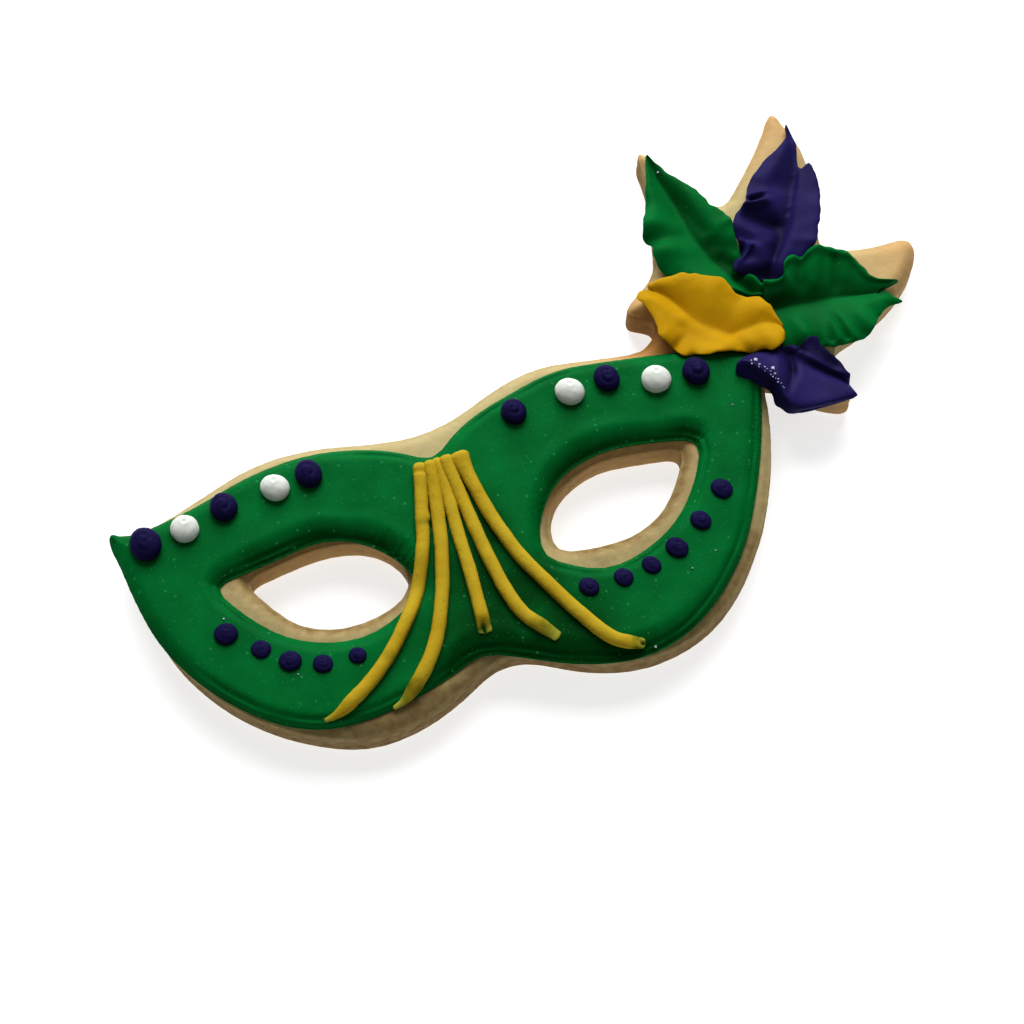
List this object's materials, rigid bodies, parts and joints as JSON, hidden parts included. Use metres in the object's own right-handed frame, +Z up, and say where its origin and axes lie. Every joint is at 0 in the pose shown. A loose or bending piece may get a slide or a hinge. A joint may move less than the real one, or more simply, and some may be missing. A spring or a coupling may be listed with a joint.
{
  "type": "decorated butter cookie",
  "caption": "Flat butter cookie cut as a masquerade mask with a feather plume, flooded with green royal icing and trimmed with piped lines, dots and ruffled leaf-tip feathers.",
  "frame": {"origin": "on the flat underside, below the nose bridge, on the middle line of the mask", "axes": "+X along the mask towards the plume, +Y from the mask's lower edge to its upper edge, +Z up out of the icing"},
  "size_m": [0.1285, 0.079, 0.0106],
  "materials": {
    "baked_dough": "matt baked butter dough, pale gold with browner points",
    "green_icing": "dried royal icing, smooth with a low sheen",
    "yellow_icing": "dried piped icing, low sheen, fine specks",
    "purple_icing": "dried piped icing, low sheen",
    "white_icing": "dried piped icing and sugar grains, low sheen"
  },
  "bodies": {
    "root": {"dough": "baked_dough", "flood_icing": "green_icing", "line_1": "yellow_icing", "line_2": "yellow_icing", "line_3": "yellow_icing", "line_4": "yellow_icing", "line_5": "yellow_icing", "dot_purple_brow_left_1": "purple_icing", "dot_purple_brow_left_2": "purple_icing", "dot_purple_brow_left_3": "purple_icing", "dot_purple_brow_right_1": "purple_icing", "dot_purple_brow_right_2": "purple_icing", "dot_purple_brow_right_3": "purple_icing", "dot_purple_cheek_left_1": "purple_icing", "dot_purple_cheek_left_2": "purple_icing", "dot_purple_cheek_left_3": "purple_icing", "dot_purple_cheek_left_4": "purple_icing", "dot_purple_cheek_left_5": "purple_icing", "dot_purple_cheek_right_1": "purple_icing", "dot_purple_cheek_right_2": "purple_icing", "dot_purple_cheek_right_3": "purple_icing", "dot_purple_cheek_right_4": "purple_icing", "dot_purple_cheek_right_5": "purple_icing", "dot_purple_cheek_right_6": "purple_icing", "dot_white_brow_left_1": "white_icing", "dot_white_brow_left_2": "white_icing", "dot_white_brow_right_1": "white_icing", "dot_white_brow_right_2": "white_icing", "feather_green_left": "green_icing", "feather_purple_top": "purple_icing", "feather_green_right": "green_icing", "feather_purple_low": "purple_icing", "feather_yellow": "yellow_icing"}
  },
  "joints": []
}
